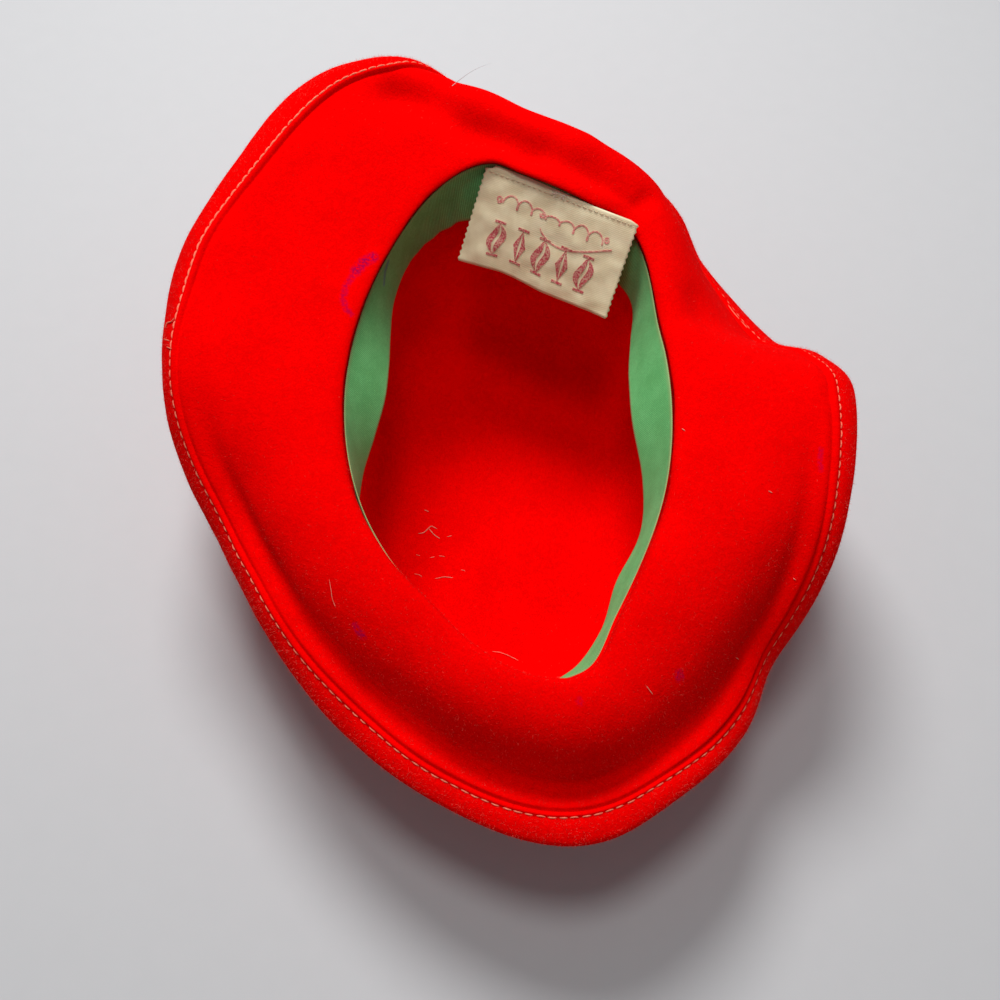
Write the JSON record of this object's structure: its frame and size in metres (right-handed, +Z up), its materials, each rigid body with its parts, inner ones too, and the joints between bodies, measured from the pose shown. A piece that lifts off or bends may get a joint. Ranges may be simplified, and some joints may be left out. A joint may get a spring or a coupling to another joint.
{
  "type": "cloche hat",
  "caption": "Soft wool felt cloche hat lying on its crown, with a wavy turned-out brim, stitched hem, ribbon sweatband and woven label.",
  "frame": {"origin": "centre of the hat's box at its base, on the floor that the crown rests on", "axes": "+Z up out of the head opening as the hat lies on its crown, +Y towards the side of the brim where the label hangs, +X to the right of it seen from -Y"},
  "size_m": [0.273, 0.3356, 0.1366],
  "materials": {
    "red_felt": "napped matte",
    "green_ribbon": "ribbed, soft sheen",
    "woven_label": "woven matte"
  },
  "bodies": {
    "root": {"felt_body": "red_felt", "sweatband": "green_ribbon", "label": "woven_label"}
  },
  "joints": []
}
